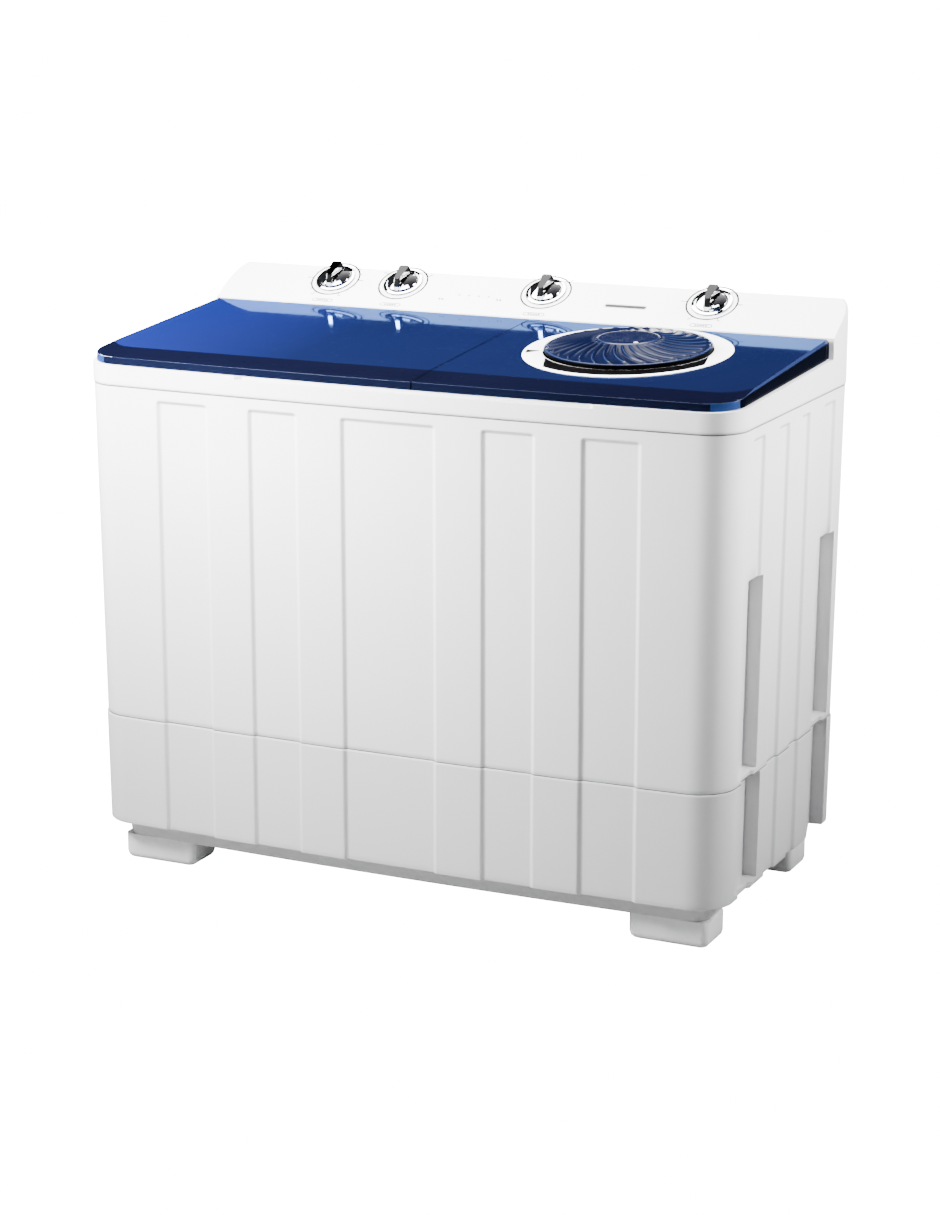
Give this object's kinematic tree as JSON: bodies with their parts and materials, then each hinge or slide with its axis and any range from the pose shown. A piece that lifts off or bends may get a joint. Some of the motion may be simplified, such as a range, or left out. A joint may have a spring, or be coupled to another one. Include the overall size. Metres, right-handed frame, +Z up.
{
  "type": "twin-tub washing machine",
  "caption": "Top loading washer with a wash tub and a spin tub side by side, hinged translucent lids, a turning air vent and a sloped panel with turning knobs.",
  "frame": {"origin": "on the ground at the middle of the bounding box", "axes": "+Z up, the front faces -Y, +X to the right seen from the front"},
  "size_m": [0.99, 0.5048, 0.8408],
  "materials": {
    "housing_white": "glossy moulded white",
    "lid_blue": "smoked translucent blue, polished",
    "dial_blue": "translucent blue, polished",
    "knob_chrome": "bright plated",
    "tub_plastic": "satin moulded",
    "steel": "plain steel",
    "motor_steel": "painted steel",
    "rubber": "moulded rubber",
    "pulsator_plastic": "moulded blue plastic",
    "black_plastic": "moulded black plastic",
    "grey_plastic": "moulded grey plastic"
  },
  "bodies": {
    "root": {"base_housing": "housing_white", "brake_pivot_post": "steel", "cabinet_shell": "housing_white", "cord_gland": "black_plastic", "drain_outlet": "housing_white", "drain_pipe": "rubber", "drain_selector_unit": "grey_plastic", "drain_valve_body": "housing_white", "drive_belt": "rubber", "foot_front_left": "housing_white", "foot_front_right": "housing_white", "foot_rear_left": "housing_white", "foot_rear_right": "housing_white", "lid_hinge_bracket_1": "housing_white", "lid_hinge_bracket_2": "housing_white", "lid_hinge_bracket_3": "housing_white", "lid_hinge_bracket_4": "housing_white", "lint_filter": "pulsator_plastic", "motor_capacitor": "grey_plastic", "pulsator_bearing_housing": "grey_plastic", "rear_cover": "grey_plastic", "rear_cover_screw_1": "steel", "rear_cover_screw_2": "steel", "rear_cover_screw_3": "steel", "rear_cover_screw_4": "steel", "spin_lid_switch": "black_plastic", "spin_motor": "motor_steel", "spin_motor_mount_1": "rubber", "spin_motor_mount_2": "rubber", "spin_motor_mount_3": "rubber", "spin_outer_tub": "tub_plastic", "spin_shaft_seal": "rubber", "spin_timer_unit": "grey_plastic", "top_frame": "housing_white", "wash_mode_switch": "grey_plastic", "wash_motor": "motor_steel", "wash_motor_bracket": "motor_steel", "wash_timer_unit": "grey_plastic", "wash_tub": "tub_plastic", "water_inlet_nozzle": "housing_white"},
    "wash_lid": {"wash_lid": "lid_blue"},
    "spin_lid": {"spin_lid": "lid_blue", "air_dry_ring": "housing_white"},
    "air_dry_dial": {"air_dry_dial": "dial_blue", "air_dry_retainer": "housing_white"},
    "pulsator": {"pulsator": "pulsator_plastic", "pulsator_shaft": "steel", "pulsator_pulley": "grey_plastic"},
    "motor_pulley": {"wash_motor_pulley": "grey_plastic", "wash_motor_shaft": "steel"},
    "spin_basket": {"spin_basket": "steel", "spin_shaft": "steel", "basket_nut": "grey_plastic", "brake_drum": "steel"},
    "brake_lever": {"brake_lever": "grey_plastic"},
    "wash_timer_knob": {"wash_timer_knob": "knob_chrome"},
    "wash_mode_knob": {"wash_mode_knob": "knob_chrome"},
    "drain_knob": {"drain_knob": "knob_chrome"},
    "spin_timer_knob": {"spin_timer_knob": "knob_chrome"},
    "drain_valve": {"drain_valve_plunger": "rubber"}
  },
  "joints": [
    {"name": "wash_lid_hinge", "type": "hinge", "parent": "root", "child": "wash_lid", "pos_m": [-0.2275, 0.142, 0.77812], "axis": [-1, 0, 0], "range_deg": [0, 100]},
    {"name": "spin_lid_hinge", "type": "hinge", "parent": "root", "child": "spin_lid", "pos_m": [0.262, 0.142, 0.77812], "axis": [-1, 0, 0], "range_deg": [0, 100]},
    {"name": "air_dry_turn", "type": "hinge", "parent": "spin_lid", "child": "air_dry_dial", "pos_m": [0.2487, 0, 0.77604], "axis": [0, -0.0778, 0.997], "range_deg": [0, 22.5]},
    {"name": "pulsator_spin", "type": "hinge", "parent": "root", "child": "pulsator", "pos_m": [-0.2325, -0.04, 0.338], "axis": [0, 0, 1], "continuous": true},
    {"name": "motor_pulley_spin", "type": "hinge", "parent": "root", "child": "motor_pulley", "pos_m": [-0.385, 0.095, 0.244], "axis": [0, 0, 1], "continuous": true},
    {"name": "basket_spin", "type": "hinge", "parent": "root", "child": "spin_basket", "pos_m": [0.2487, 0, 0.3], "axis": [0, 0, 1], "continuous": true},
    {"name": "brake_lever_swing", "type": "hinge", "parent": "root", "child": "brake_lever", "pos_m": [0.2992, -0.055, 0.19], "axis": [0, 0, 1], "range_deg": [0, 5]},
    {"name": "wash_timer_turn", "type": "hinge", "parent": "root", "child": "wash_timer_knob", "pos_m": [-0.3159, 0.20656, 0.81901], "axis": [0, -0.5075, 0.8616], "range_deg": [-300, 0]},
    {"name": "wash_mode_turn", "type": "hinge", "parent": "root", "child": "wash_mode_knob", "pos_m": [-0.2014, 0.20656, 0.81901], "axis": [0, -0.5075, 0.8616], "range_deg": [-90, 90]},
    {"name": "drain_turn", "type": "hinge", "parent": "root", "child": "drain_knob", "pos_m": [0.0333, 0.20656, 0.81901], "axis": [0, -0.5075, 0.8616], "range_deg": [-90, 0]},
    {"name": "spin_timer_turn", "type": "hinge", "parent": "root", "child": "spin_timer_knob", "pos_m": [0.2937, 0.20656, 0.81901], "axis": [0, -0.5075, 0.8616], "range_deg": [-300, 0]},
    {"name": "drain_valve_lift", "type": "slide", "parent": "root", "child": "drain_valve", "axis": [0, 0, 1], "range_m": [0, 0.01]}
  ],
  "couplings": [
    {"joint": "motor_pulley_spin", "follows": "pulsator_spin", "ratio": 3.0357},
    {"joint": "brake_lever_swing", "follows": "spin_lid_hinge", "ratio": 0.05},
    {"joint": "drain_valve_lift", "follows": "drain_turn", "m_per_rad": -0.0063662}
  ]
}
